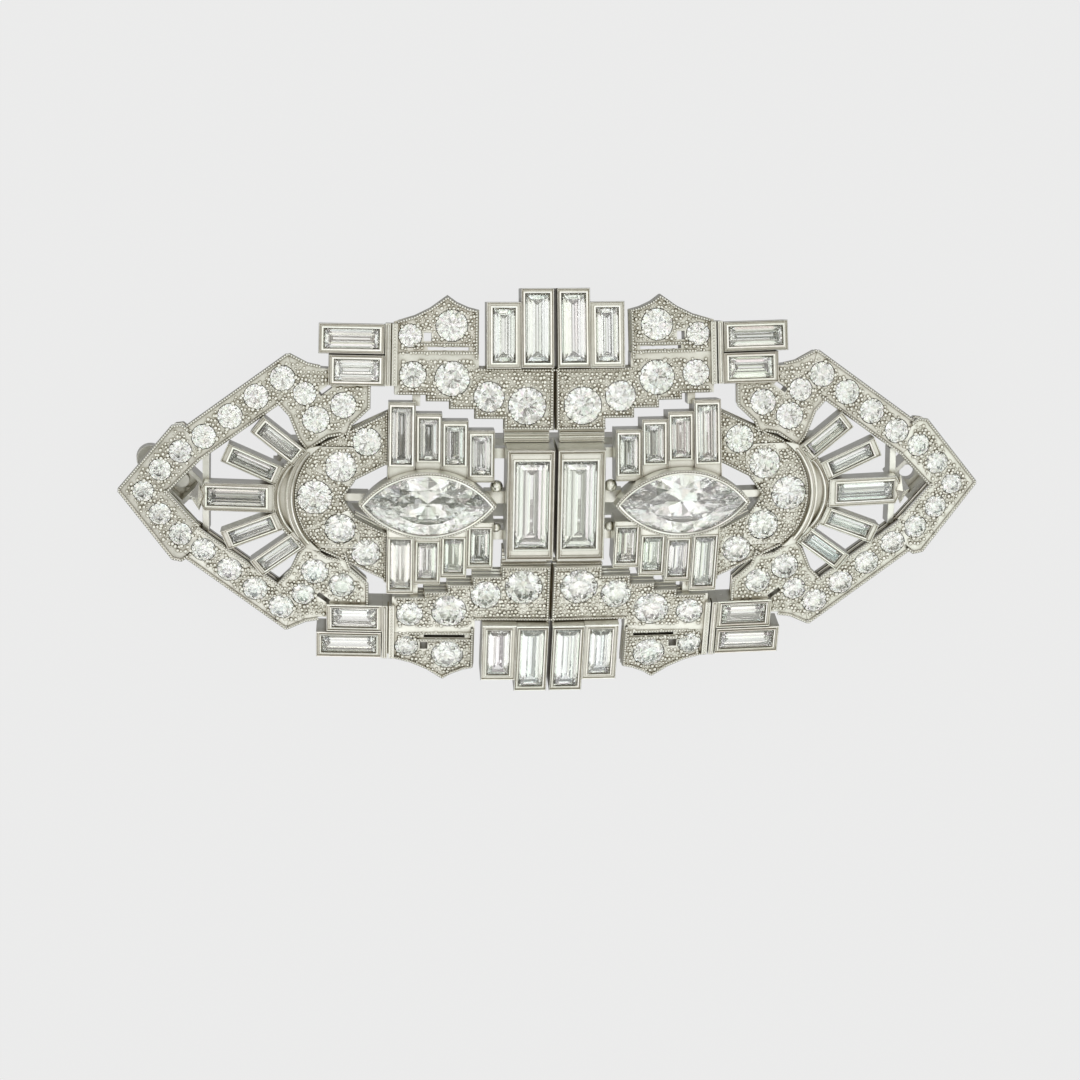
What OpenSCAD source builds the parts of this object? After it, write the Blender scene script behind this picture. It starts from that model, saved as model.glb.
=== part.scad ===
// Double clip brooch: two mirrored clips, set with round, baguette and marquise stones,
// held side by side on a plain back frame with a pin.
// Lying on its back: +Z out of the face, +X along the length, +Y up when it is worn.
// The origin is at the middle of the resting side.

/* [Dome] */
// Height of the plate's top at the middle of the brooch
crown_z = 7.2; // [6.8:0.1:8]
// Radius that the face bends to along its length
rx = 167; // [150:1:220]
// Radius that the face bends to across its height
ry = 47; // [44:1:60]
// Thickness of the pierced plate
plate_t = 1.5; // [1.2:0.1:1.6]
// Gap between the two clips at the middle
clip_gap = 0.2; // [0.15:0.05:0.4]

/* [Setting heights] */
// Height of the corner collets above the plate
corner_h = 0.3; // [0.2:0.05:0.5]
// Height of the end collets above the plate
end_h = 0.8; // [0.6:0.05:0.9]
// Height of the flank collets' outer ends above the plate
flank_h = 0.5; // [0.4:0.05:0.6]
// Slope of the flank collets, down and away from the marquise
flank_tilt = 3; // [0:0.5:4]
// Height of the fan collets above the plate
fan_h = 0.6; // [0.4:0.05:0.7]
// Height of the centre collets above the plate
centre_h = 1.6; // [1.4:0.05:1.8]
// Height of the marquise collets above the plate
marquise_h = 1.9; // [1.7:0.05:2.1]
// Height of the polished rails round the arc
rail_h = 0.4; // [0.3:0.05:0.5]
// Height of the upright bars beside the corner collets
bar_h = 0.35; // [0.25:0.05:0.45]

/* [Stones] */
// Space left round each stone in its seat
seat_gap = 0.04; // [0.03:0.01:0.05]
// Height of a round stone's girdle above the plate
girdle_h = 0.03; // [0:0.01:0.06]
// How far a baguette's girdle lies below its collet's edge
girdle_drop = 0.12; // [0.08:0.01:0.16]
// Height of a baguette's table above its girdle
step_crown = 0.3; // [0.25:0.01:0.35]

/* [Back] */
// Distance of the frame's rails from the middle line
frame_rail_y = 2.6; // [2.4:0.1:2.8]
// Thickness of the frame
frame_t = 1.4; // [1.2:0.1:1.5]
// Half length of the frame's rails
frame_end_x = 20.5; // [20:0.1:21]
// Distance of the pin below the middle line
pin_y = 4.1; // [4:0.1:4.4]
// Diameter of the pin
pin_d = 0.9; // [0.8:0.05:1]

/* [Hidden] */
COL_X = 0;
COL_Y = 1;
COL_D = 2;

// Flat facets of the plate, each tangent to the dome at its middle: x, y
CAP = [30.3, 0];
ARM = [24.5, 7.2];
CLUSTER = [18.3, 7.6];
NOSE = [17.5, 0];
LEG = [15.2, 4.6];
BAND = [6.5, 8.5];
CREST = [9, 13.5];

// Round stones of each facet: x, y, diameter
CAP_STONES = [
  [28.8, 3.35, 1.80],
  [30.4, 1.80, 1.75],
  [31.7, 0.00, 1.65],
  [30.4, -1.80, 1.75],
  [28.8, -3.35, 1.80],
];
ARM_STONES = [
  [21.0, 9.30, 1.95],
  [23.0, 7.80, 1.95],
  [25.0, 6.20, 1.95],
  [27.0, 4.55, 1.90],
];
CLUSTER_STONES = [
  [19.3, 8.15, 1.80],
  [18.4, 6.15, 2.10],
  [16.3, 7.30, 2.00],
];
NOSE_STONES = [
  [18.5, 0.00, 2.70],
];
LEG_STONES = [
  [14.5, 4.50, 2.20],
  [16.5, 2.50, 2.40],
];
BAND_STONES = [
  [2.15, 7.35, 2.90],
  [5.10, 8.05, 2.35],
  [7.95, 9.45, 2.70],
  [11.0, 9.75, 2.05],
];
CREST_STONES = [
  [7.95, 13.4, 2.45],
  [11.15, 12.6, 1.80],
];

// Baguettes: x and y of the collet's middle, its length and width, the stone's length and width,
// and the turn of its length from the X axis
B_LEN = 2;
B_WID = 3;
B_SLEN = 4;
B_SWID = 5;
B_TURN = 6;
CORNERS = [
  [15.65, 12.35, 5.10, 2.35, 4.35, 1.60, 0],
  [15.28, 10.00, 4.36, 2.40, 3.55, 1.75, 0],
];
ENDS = [
  [3.98, 12.70, 5.15, 2.70, 4.25, 1.80, 90],
  [1.39, 13.22, 6.16, 2.56, 5.40, 1.95, 90],
];
FANS = [
  [21.25, 4.50, 4.30, 1.60, 3.40, 1.10, 37.7],
  [23.25, 2.65, 4.70, 1.60, 3.60, 1.10, 22.7],
  [24.45, 0.00, 5.90, 2.30, 4.60, 1.50, 0],
];
// How far the middle fan collet's corners lie back from its point
fan_point = 0.45;
CENTRE = [1.95, 0, 8.90, 3.70, 7.10, 2.68, 90];
// x of the centre stone, nearer the join than its collet's middle
centre_stone_x = 1.84;

// Flank baguettes: x of the middle, y of the collet's outer end, collet width,
// y of the stone's inner end
F_OUT = 1;
F_WID = 2;
F_IN = 3;
FLANKS = [
  [11.80, 7.70, 2.14, 2.70],
  [9.74, 6.85, 2.06, 3.05],
  [7.72, 6.30, 2.06, 2.75],
  [5.70, 5.55, 2.06, 1.95],
];
flank_inner_y = 1.5;
flank_wall = 0.26;

// Marquise: place and half sizes of the collet, and its wall
marquise_x = 9.8;
marquise_half_l = 5.33;
marquise_half_w = 2.72;
marquise_wall = 0.28;

boat_r = (pow(marquise_half_l, 2) + pow(marquise_half_w, 2)) / (2 * marquise_half_w);
boat_c = boat_r - marquise_half_w;

// Arc of pave round the marquise, and the polished lune outside it
arc_x = 14.7;
arc_r = 5.5;
arc_turn = 51;
lune_x = 17.5;
lune_r = 4.3;
ridge_w = 0.55;

// Depth of the gallery wall under the lune
gallery_depth = 2.8;

// Bars: x and y of the middle, length along x and along y, height of the top and the bottom
// above the plate's top
BAR_LX = 2;
BAR_LY = 3;
BAR_TOP = 4;
BAR_LOW = 5;
PAIRED_BARS = [
  [12.36, 11.2, 0.42, 4.84, bar_h, -plate_t],
  [12.89, 11.2, 0.42, 4.84, bar_h, -plate_t],
  [12.62, 11.2, 0.4, 4.84, -0.35, -plate_t],
  [2.15, 4.95, 3.5, 1.4, -0.35, -plate_t],
  [10.7, 7.9, 0.6, 1.2, -0.3, -plate_t],
  [26.9, 1.9, 0.5, 2.4, -0.3, -plate_t],
  [4.3, 3.4, 2, 0.8, -1.2, -2.2],
];
MIDDLE_BARS = [
  [4.4, 0, 2, 1, -0.5, -plate_t],
  [15.5, 0, 2.2, 0.6, -0.2, -plate_t],
];

// Lugs that carry the clip fitting's barrel
lug_x = 7.2;
lug_y = 3.1;
lug_t = 1;
lug_w = 1.8;
barrel_d = 1.7;
barrel_z = 3;

// Seats: width of a collet's ledge, and how far it lies below the stone's girdle
ledge = 0.12;
ledge_depth = 0.32;
marquise_ledge = 0.4;
marquise_ledge_depth = 0.52;
// Below this depth the marquise's collet is narrower all round; it ends below the plate's top
marquise_step = 0.95;
marquise_step_in = 0.35;
marquise_low = 0.9;
// How far the fan's collets reach below the plate's top
fan_low = 0.5;
// Round seats, in stone diameters: depth of the step, and width of the hole drilled through
step_down = 0.19;
drill = 0.6;
// How far a cut reaches past the metal that it goes through
over = 0.2;

// Proportions of the cut stones
round_table = 0.56;
round_crown = 0.15;
round_depth = 0.43;
girdle_t = 0.08;
step_inset = [0.24, 0.1];
step_depth = 0.5;
marquise_table = 0.6;
marquise_crown = 0.4;
// The marquise's keel: its reach as a share of the stone's, its half width, and the slope to it
keel_reach = 0.96;
keel_w = 0.05;
keel_slope = 0.86;

// Clip fitting: a tongue from the barrel, a yoke across it, and two prongs
fitting_z = 1.7;
fitting_t = 0.7;
fitting_gap = 0.15;
tongue_x = 6.6;
tongue_l = 3;
tongue_w = 5.2;
yoke_x = 8.6;
yoke_l = 4;
prong_y = 3.3;
prong_d = 0.8;
prong_l = 3.6;
prong_point = 1.2;

// Frame
rail_w = 1.2;
cross_x = 8;
lift = 0.2;
post_x = 20.2;
post_w = 3;
post_top = 2.75;
stem_y = -1.1;
stem_w = 1;
tip_x = 28.6;
tip_box = 2.6;
tip_box_wall = 0.35;
tip_floor = 1;
tip_top = 2.3;
tip_disc_d = 1.2;
tip_disc_top = 1.5;
tab_x = -31;
tab_y = 1.6;
tab_d = 2.2;
tab_t = 0.7;
tab_neck = 1.2;
pin_z = 0.75;
catch_x = 19.4;
catch_w = 1.4;
catch_h = 1.6;

half_gap = clip_gap / 2;
fine = 96;
seat_fine = 32;

SIDES = [["left", -1], ["right", 1]];

// Placing

// Mirrors the right clip's parts to make the left clip's
module side(s) {
  if (s < 0) mirror([1, 0, 0]) children();
  else children();
}

// Mirrors an upper part to make the lower one
module half(s) {
  if (s < 0) mirror([0, 1, 0]) children();
  else children();
}

// Puts its children on the dome above plan point x, y, with their Z along the dome's normal
module on_dome(x, y, h = 0) {
  b = asin(y / ry);
  a = asin(x / (rx - ry + ry * cos(b)));
  translate([0, 0, crown_z - rx])
    rotate([0, a, 0])
      translate([0, 0, rx - ry])
        rotate([-b, 0, 0])
          translate([0, 0, ry + h])
            children();
}

// Lays its children's plan on the facet that touches the dome at zone
module on_facet(zone, h = 0) {
  on_dome(zone[COL_X], zone[COL_Y], h)
    translate([-zone[COL_X], -zone[COL_Y], 0])
      children();
}

// Extrudes a plan on a facet, between two heights above the plate's top
module layer(zone, top, bottom) {
  on_facet(zone, bottom) linear_extrude(top - bottom) children();
}

// Plans

module cap_plan() {
  for (s = [1, -1]) half(s)
    polygon([
      [33.5, 0], [29.35, 5.25], [28.75, 5.35], [28.2, 4.9],
      [26.9, 3.3], [27.5, 2.78], [30.1, 0],
    ]);
}

module arm_plan() {
  polygon([
    [28.4, 5.1], [20.6, 11.05], [19.9, 8.6], [21.1, 7.62], [27.5, 2.78], [28.2, 3.6],
  ]);
}

module cluster_plan() {
  difference() {
    polygon([
      [21.3, 7.55], [20.3, 6.5], [19.5, 4.6], [19.0, 3.95], [17.5, 5.0],
      [16.5, 5.2], [16.1, 4.9], [15.8, 5.9], [14.45, 7.2], [14.45, 9],
      [17.4, 9], [17.4, 10.1], [18.2, 10.15], [19.2, 10.35], [20.6, 11.05],
      [21.5, 10.2],
    ]);
    translate([17.72, 8.45]) rotate(-38) square([1.1, 0.36], center = true);
  }
}

module arc_disc() {
  translate([arc_x, 0]) circle(r = arc_r, $fn = fine);
}

// The arc's inner edge, round the marquise
module crescent_plan() {
  polygon([
    [12, -3.3], [12.85, -2.8], [15.4, -1.45], [16.35, 0], [15.4, 1.45], [12.85, 2.8], [12, 3.3],
  ]);
}

module nose_plan() {
  difference() {
    intersection() {
      arc_disc();
      translate([15, -4.1]) square([6, 8.2]);
    }
    crescent_plan();
  }
}

module leg_plan() {
  difference() {
    intersection() {
      polygon([
        [arc_x + arc_r * cos(arc_turn), arc_r * sin(arc_turn)],
        [12.85, 6.85], [12.85, 2], [15.8, 0.9], [20, 2.9], [19.5, 4],
      ]);
      union() {
        arc_disc();
        translate([12, 2]) square([4, 6]);
      }
    }
    crescent_plan();
  }
}

module band_plan() {
  polygon([
    [half_gap, 5.5], [3.9, 5.5], [3.9, 6.35], [6.15, 6.35], [6.15, 7.1], [8.1, 7.1],
    [8.1, 7.7], [9.9, 7.7], [9.9, 8.2], [12.4, 8.2], [12.4, 11.4], [5.9, 11.4],
    [5.9, 10.3], [half_gap, 10.3],
  ]);
}

module crest_plan() {
  difference() {
    polygon([
      [5.9, 11], [12.4, 11], [12.4, 13.7], [10.8, 14.15],
      [9.6, 14.75], [8.3, 15.7], [7.6, 15.2], [6.7, 14.8], [5.9, 14.6],
    ]);
    translate([6.6, 11.5]) square([3.2, 0.25]);
    translate([9.5, 12.2]) square([0.6, 0.65]);
  }
}

module lune_plan() {
  difference() {
    translate([lune_x, 0]) circle(r = lune_r, $fn = fine);
    translate([arc_x, 0]) circle(r = arc_r - 0.1, $fn = fine);
  }
}

// The two polished ridges on the lune
module ridge_plan() {
  intersection() {
    lune_plan();
    union() {
      difference() {
        translate([lune_x, 0]) circle(r = lune_r, $fn = fine);
        translate([lune_x, 0]) circle(r = lune_r - ridge_w, $fn = fine);
      }
      difference() {
        translate([arc_x, 0]) circle(r = arc_r + ridge_w, $fn = fine);
        translate([arc_x, 0]) circle(r = arc_r, $fn = fine);
      }
    }
  }
}

// A boat shape of two arcs, grown by g
module boat_plan(g) {
  intersection() {
    translate([0, -boat_c]) circle(r = boat_r + g, $fn = fine);
    translate([0, boat_c]) circle(r = boat_r + g, $fn = fine);
  }
}

// Collets

module baguette_place(row, h) {
  on_dome(row[COL_X], row[COL_Y], h) rotate([0, 0, row[B_TURN]]) children();
}

module collet(row, h, low = plate_t) {
  baguette_place(row, h)
    translate([-row[B_LEN] / 2, -row[B_WID] / 2, -h - low])
      cube([row[B_LEN], row[B_WID], h + low]);
}

// Plan of the fan's middle collet, with a pointed outer wall
module pointed_plan(row) {
  l = row[B_LEN] / 2;
  w = row[B_WID] / 2;
  polygon([[-l, -w], [l - fan_point, -w], [l + fan_point / 3, 0], [l - fan_point, w], [-l, w]]);
}

module bar(row) {
  on_dome(row[COL_X], row[COL_Y], row[BAR_LOW])
    translate([-row[BAR_LX] / 2, -row[BAR_LY] / 2, 0])
      cube([row[BAR_LX], row[BAR_LY], row[BAR_TOP] - row[BAR_LOW]]);
}

// The pocket for a stone of length l and width w, from the edge of a collet of height h
module pocket(l, w, h) {
  z = girdle_drop + ledge_depth;
  through = h + plate_t + over;
  translate([-l / 2 - seat_gap, -w / 2 - seat_gap, -z])
    cube([l + 2 * seat_gap, w + 2 * seat_gap, z + 1]);
  translate([-l / 2 + ledge, -w / 2 + ledge, -through])
    cube([l - 2 * ledge, w - 2 * ledge, through + 1]);
}

function flank_len(row) = row[F_OUT] - flank_inner_y;
function flank_stone_len(row) = row[F_OUT] - 2 * flank_wall - row[F_IN];
function flank_stone_w(row) = row[F_WID] - 2 * flank_wall;

// Puts its children at the outer end of a flank collet, level with its top edge
module flank_place(row) {
  on_dome(row[COL_X], row[F_OUT], flank_h) rotate([-flank_tilt, 0, 0]) children();
}

module flank_stone_place(row) {
  flank_place(row)
    translate([0, -1.5 * flank_wall - flank_stone_len(row) / 2, 0])
      rotate([0, 0, 90])
        children();
}

// Stepped seats for a facet's round stones, drilled through
module round_seats(zone, rows) {
  on_facet(zone, girdle_h)
    for (r = rows) translate([r[COL_X], r[COL_Y], 0]) {
      translate([0, 0, -step_down * r[COL_D] - girdle_t])
        cylinder(d = r[COL_D] + 2 * seat_gap, h = plate_t, $fn = seat_fine);
      translate([0, 0, -gallery_depth - over])
        cylinder(d = drill * r[COL_D], h = gallery_depth + 1, $fn = seat_fine);
    }
}

module marquise_place() {
  on_dome(marquise_x, 0, marquise_h) children();
}

// Soldered metal of the right clip

module mount_metal() {
  layer(CAP, 0, -plate_t) cap_plan();
  layer(NOSE, 0, -plate_t) nose_plan();
  layer(NOSE, 0.1, -gallery_depth) lune_plan();
  layer(NOSE, rail_h, -1) ridge_plan();
  for (s = [1, -1]) half(s) {
    layer(ARM, 0, -plate_t) arm_plan();
    layer(CLUSTER, 0, -plate_t) cluster_plan();
    layer(LEG, 0, -plate_t) leg_plan();
    layer(BAND, 0, -plate_t) band_plan();
    layer(CREST, 0, -plate_t) crest_plan();
    for (r = CORNERS) collet(r, corner_h);
    for (r = ENDS) collet(r, end_h);
    for (r = [FANS[0], FANS[1]]) collet(r, fan_h, fan_low);
    for (r = FLANKS)
      flank_place(r)
        translate([-r[F_WID] / 2, -flank_len(r), -flank_h - plate_t])
          cube([r[F_WID], flank_len(r), flank_h + plate_t]);
    for (r = PAIRED_BARS) bar(r);
    // Lug that carries the clip fitting
    translate([lug_x - lug_w / 2, lug_y, barrel_z - lug_w / 2])
      cube([lug_w, lug_t, crown_z - plate_t - barrel_z + 1]);
  }
  baguette_place(FANS[2], 0)
    translate([0, 0, -fan_low]) linear_extrude(fan_low + fan_h) pointed_plan(FANS[2]);
  collet(CENTRE, centre_h);
  marquise_place() {
    translate([0, 0, -marquise_step]) linear_extrude(marquise_step) boat_plan(0);
    translate([0, 0, -marquise_h - marquise_low])
      linear_extrude(marquise_h + marquise_low) boat_plan(-marquise_step_in);
  }
  for (r = MIDDLE_BARS) bar(r);
}

module mount_seats() {
  round_seats(CAP, CAP_STONES);
  round_seats(NOSE, NOSE_STONES);
  for (s = [1, -1]) half(s) {
    round_seats(ARM, ARM_STONES);
    round_seats(CLUSTER, CLUSTER_STONES);
    round_seats(LEG, LEG_STONES);
    round_seats(BAND, BAND_STONES);
    round_seats(CREST, CREST_STONES);
    for (r = CORNERS) baguette_place(r, corner_h) pocket(r[B_SLEN], r[B_SWID], corner_h);
    for (r = ENDS) baguette_place(r, end_h) pocket(r[B_SLEN], r[B_SWID], end_h);
    for (r = [FANS[0], FANS[1]]) baguette_place(r, fan_h) pocket(r[B_SLEN], r[B_SWID], fan_h);
    for (r = FLANKS)
      flank_stone_place(r) pocket(flank_stone_len(r), flank_stone_w(r), flank_h);
  }
  baguette_place(FANS[2], fan_h) pocket(FANS[2][B_SLEN], FANS[2][B_SWID], fan_h);
  centre_stone_place() pocket(CENTRE[B_SLEN], CENTRE[B_SWID], centre_h);
  marquise_place() {
    translate([0, 0, -girdle_drop - marquise_ledge_depth])
      linear_extrude(2) boat_plan(-marquise_wall);
    translate([0, 0, -marquise_h - plate_t - over])
      linear_extrude(marquise_h + plate_t + 1) boat_plan(-marquise_wall - marquise_ledge);
  }
}

module centre_stone_place() {
  on_dome(centre_stone_x, 0, centre_h) rotate([0, 0, CENTRE[B_TURN]]) children();
}

module mount(s) {
  color("gainsboro")
    side(s)
      difference() {
        mount_metal();
        mount_seats();
      }
}

// Cut stones

// A level ring of n corners
function ring(n, r, z) = [for (i = [0:n - 1]) [r * cos(360 * i / n), r * sin(360 * i / n), z]];

// Round brilliant, its girdle's top edge at z = 0: an 8-sided table over a 16-sided girdle
module brilliant(d) {
  crown = d * round_crown;
  points = concat(
    ring(8, d * round_table / 2, crown),
    ring(16, d / 2, 0),
    ring(16, d / 2, -girdle_t),
    [[0, 0, -girdle_t - d * round_depth]]
  );
  top = 8;
  low = 24;
  faces = concat(
    [[for (i = [7:-1:0]) i]],
    [for (i = [0:7]) [i, top + 2 * i + 1, top + 2 * i]],
    [for (i = [0:7]) [i, (i + 1) % 8, top + 2 * i + 1]],
    [for (i = [0:7]) [(i + 1) % 8, top + (2 * i + 2) % 16, top + 2 * i + 1]],
    [for (j = [0:15]) [top + j, top + (j + 1) % 16, low + (j + 1) % 16, low + j]],
    [for (j = [0:15]) [low + j, low + (j + 1) % 16, 40]]
  );
  polyhedron(points, faces);
}

// A stone from rings of n corners each, listed from the table down to the keel
module stepped_stone(rings) {
  n = len(rings[0]);
  last = (len(rings) - 1) * n;
  polyhedron(
    [for (r = rings, p = r) p],
    concat(
      [[for (i = [n - 1:-1:0]) i]],
      [for (k = [0:len(rings) - 2], i = [0:n - 1])
        [k * n + i, k * n + (i + 1) % n, (k + 1) * n + (i + 1) % n, (k + 1) * n + i]],
      [[for (i = [0:n - 1]) last + i]]
    )
  );
}

function box_ring(l, w, z) =
  [[l / 2, -w / 2, z], [l / 2, w / 2, z], [-l / 2, w / 2, z], [-l / 2, -w / 2, z]];

// Step-cut baguette, the collet's edge at z = 0
module baguette(l, w) {
  top = -girdle_drop;
  low = top - girdle_t;
  depth = step_depth * w;
  a = step_inset[0] * w;
  b = step_inset[1] * w;
  stepped_stone([
    box_ring(l - 2 * a, w - 2 * a, top + step_crown),
    box_ring(l - 2 * b, w - 2 * b, top + step_crown * 0.6),
    box_ring(l, w, top),
    box_ring(l, w, low),
    box_ring(l - 0.35 * w, w * 0.65, low - 0.4 * depth),
    box_ring(l - 0.9 * w, w * 0.1, low - depth),
  ]);
}

// The marquise's outline: half width at x, and where its corners lie along the stone
stone_r = boat_r - marquise_wall - seat_gap;
stone_l = sqrt(stone_r * stone_r - boat_c * boat_c);
function half_width(x) = sqrt(stone_r * stone_r - x * x) - boat_c;
function boat_x(i) = stone_l * cos(22.5 * i);

// Corners of a boat-shaped ring, k times the marquise's girdle
function boat_ring(k, z) =
  [for (i = [0:15]) [k * boat_x(i), k * half_width(boat_x(i)) * sign(sin(22.5 * i)), z]];

// Corners along the keel, each where the slope square to the outline ends
function keel_x(i) =
  let (x = boat_x(i))
  i % 8 == 0 ? keel_reach * x : x * boat_c / (boat_c + half_width(x));
function keel_drop(i) = keel_slope * norm([boat_x(i) - keel_x(i), half_width(boat_x(i))]);
function keel_ring(z) =
  [for (i = [0:15]) [keel_x(i), keel_w * sign(sin(22.5 * i)), z - keel_drop(i)]];

// Boat-shaped stone, the collet's edge at z = 0
module marquise_stone() {
  top = -girdle_drop;
  low = top - girdle_t;
  last = 48;
  polyhedron(
    concat(
      boat_ring(marquise_table, top + marquise_crown), boat_ring(1, top), boat_ring(1, low),
      keel_ring(low)
    ),
    concat(
      [[for (i = [15:-1:0]) i]],
      [for (k = [0, 16], i = [0:15]) [k + i, k + (i + 1) % 16, k + 16 + (i + 1) % 16, k + 16 + i]],
      [for (i = [0:15]) [32 + i, 32 + (i + 1) % 16, last + i]],
      [for (i = [0:15]) [32 + (i + 1) % 16, last + (i + 1) % 16, last + i]],
      [[last, last + 1, last + 15], [last + 8, last + 9, last + 7]],
      [for (i = [1:6]) [last + i, last + i + 1, last + 15 - i, last + 16 - i]]
    )
  );
}

module round_stones(zone, rows) {
  on_facet(zone, girdle_h)
    for (r = rows) translate([r[COL_X], r[COL_Y], 0]) brilliant(r[COL_D]);
}

module rim_rounds(s) {
  color("white") side(s) {
    round_stones(CAP, CAP_STONES);
    for (t = [1, -1]) half(t) round_stones(ARM, ARM_STONES);
  }
}

module arc_rounds(s) {
  color("white") side(s) {
    round_stones(NOSE, NOSE_STONES);
    for (t = [1, -1]) half(t) round_stones(LEG, LEG_STONES);
  }
}

// The rounds of the cluster, the band and the crest, above (t = 1) or below (t = -1)
module field_rounds(s, t) {
  color("white") side(s) half(t) {
    round_stones(CLUSTER, CLUSTER_STONES);
    round_stones(BAND, BAND_STONES);
    round_stones(CREST, CREST_STONES);
  }
}

module marquise(s) {
  color("white") side(s) marquise_place() marquise_stone();
}

module centre_baguette(s) {
  color("white") side(s) centre_stone_place() baguette(CENTRE[B_SLEN], CENTRE[B_SWID]);
}

// Stones 1 to 5 from the top: the two slanting ones, the middle one, and their mirror images
module fan_baguette(s, i) {
  row = FANS[2 - abs(3 - i)];
  color("white") side(s) half(i < 4 ? 1 : -1)
    baguette_place(row, fan_h) baguette(row[B_SLEN], row[B_SWID]);
}

// Stones 1 and 2 above, 3 and 4 below, the outer ones first and last
module paired_baguette(s, i, rows, h) {
  row = rows[i < 3 ? i - 1 : 4 - i];
  color("white") side(s) half(i < 3 ? 1 : -1)
    baguette_place(row, h) baguette(row[B_SLEN], row[B_SWID]);
}

module end_baguette(s, i) {
  paired_baguette(s, i, ENDS, end_h);
}

module corner_baguette(s, i) {
  paired_baguette(s, i, CORNERS, corner_h);
}

module flank_baguettes(s, t) {
  color("white") side(s) half(t)
    for (r = FLANKS) flank_stone_place(r) baguette(flank_stone_len(r), flank_stone_w(r));
}

// Back

// Sprung clip, closed: a barrel between the mount's lugs, a tongue and two prongs
module clip_fitting(s) {
  barrel_l = 2 * (lug_y - fitting_gap);
  yoke_w = 2 * prong_y + prong_d;
  color("silver") side(s) {
    translate([lug_x, barrel_l / 2, barrel_z])
      rotate([90, 0, 0]) cylinder(d = barrel_d, h = barrel_l, $fn = fine);
    translate([tongue_x, -tongue_w / 2, fitting_z]) cube([tongue_l, tongue_w, fitting_t]);
    translate([yoke_x, -yoke_w / 2, fitting_z]) cube([yoke_l, yoke_w, fitting_t]);
    for (t = [1, -1])
      translate([yoke_x + yoke_l - over, t * prong_y, fitting_z + fitting_t / 2])
        rotate([0, 90, 0]) {
          cylinder(d = prong_d * 0.8, h = prong_l - over, $fn = seat_fine);
          translate([0, 0, prong_l - over])
            cylinder(d1 = prong_d * 0.8, d2 = 0.2, h = prong_point, $fn = seat_fine);
        }
  }
}

// Square box under a clip's point: a disc in its floor at the left, a round hole at the right
module tip_socket(s) {
  inner = tip_box - 2 * tip_box_wall;
  translate([tip_x, 0, 0]) rotate([0, 0, 45]) {
    difference() {
      translate([-tip_box / 2, -tip_box / 2, lift])
        cube([tip_box, tip_box, tip_top - lift]);
      translate([-inner / 2, -inner / 2, tip_floor])
        cube([inner, inner, tip_top]);
      if (s > 0) cylinder(d = tip_disc_d, h = tip_top, $fn = seat_fine);
    }
    if (s < 0)
      translate([0, 0, lift]) cylinder(d = tip_disc_d, h = tip_disc_top - lift, $fn = seat_fine);
  }
}

// Frame that the clips slide on, with its pin closed in its catch
module brooch_frame() {
  color("silver") {
    for (t = [1, -1])
      translate([-frame_end_x, t * frame_rail_y - rail_w / 2, 0])
        cube([2 * frame_end_x, rail_w, frame_t]);
    for (s = [-1, 1]) side(s) {
      translate([cross_x - rail_w / 2, -frame_rail_y, 0])
        cube([rail_w, 2 * frame_rail_y, frame_t]);
      translate([frame_end_x - rail_w / 2, -frame_rail_y - rail_w / 2, 0])
        cube([rail_w, 2 * frame_rail_y + rail_w, frame_t]);
      // Post under the clip's gallery
      translate([post_x, -post_w / 2, 0]) cube([rail_w, post_w, post_top]);
      translate([frame_end_x, stem_y - stem_w / 2, lift])
        cube([tip_x - frame_end_x - tip_box_wall, stem_w, frame_t - lift]);
      tip_socket(s);
      // Hinge block and catch of the pin
      translate([catch_x - catch_w / 2, -pin_y - pin_d, 0])
        cube([catch_w, pin_y + pin_d - frame_rail_y, catch_h]);
    }
    translate([-catch_x, -pin_y, pin_z])
      rotate([0, 90, 0]) cylinder(d = pin_d, h = 2 * catch_x, $fn = seat_fine);
    // Thumb tab past the left clip's point, on a neck from the box under it
    translate([0, 0, lift]) linear_extrude(tab_t) {
      translate([tab_x, tab_y]) circle(d = tab_d, $fn = fine);
      hull() {
        translate([tab_x, tab_y]) circle(d = tab_neck, $fn = seat_fine);
        translate([-tip_x, 0]) circle(d = tab_neck, $fn = seat_fine);
      }
    }
  }
}

brooch_frame();
for (s = SIDES) {
  mount(s[1]);
  clip_fitting(s[1]);
  marquise(s[1]);
  centre_baguette(s[1]);
  flank_baguettes(s[1], 1);
  flank_baguettes(s[1], -1);
  rim_rounds(s[1]);
  arc_rounds(s[1]);
  field_rounds(s[1], 1);
  field_rounds(s[1], -1);
  for (i = [1:5])
    fan_baguette(s[1], i);
  for (i = [1:4]) {
    end_baguette(s[1], i);
    corner_baguette(s[1], i);
  }
}
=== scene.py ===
# Looks for the double clip brooch: camera, light, cut stones, settings and metal.
# Lengths are in millimetres in the part's own frame, and turn into metres as each mesh is made.

import math
import random

import bpy
from mathutils import Matrix, Vector


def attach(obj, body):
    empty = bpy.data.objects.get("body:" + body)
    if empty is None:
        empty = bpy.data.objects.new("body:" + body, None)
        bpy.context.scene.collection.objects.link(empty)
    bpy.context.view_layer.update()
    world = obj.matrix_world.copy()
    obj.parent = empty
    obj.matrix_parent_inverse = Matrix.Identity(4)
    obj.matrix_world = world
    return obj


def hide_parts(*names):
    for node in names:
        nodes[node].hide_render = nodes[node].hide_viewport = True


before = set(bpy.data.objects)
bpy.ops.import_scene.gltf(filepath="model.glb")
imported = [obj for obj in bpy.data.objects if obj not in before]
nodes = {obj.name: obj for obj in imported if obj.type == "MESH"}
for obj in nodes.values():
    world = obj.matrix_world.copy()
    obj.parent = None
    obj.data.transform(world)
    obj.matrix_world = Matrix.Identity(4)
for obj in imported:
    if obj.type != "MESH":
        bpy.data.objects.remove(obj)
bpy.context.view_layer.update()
random.seed(7)

MM = 0.001
SIDES = (("left", -1), ("right", 1))

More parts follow.
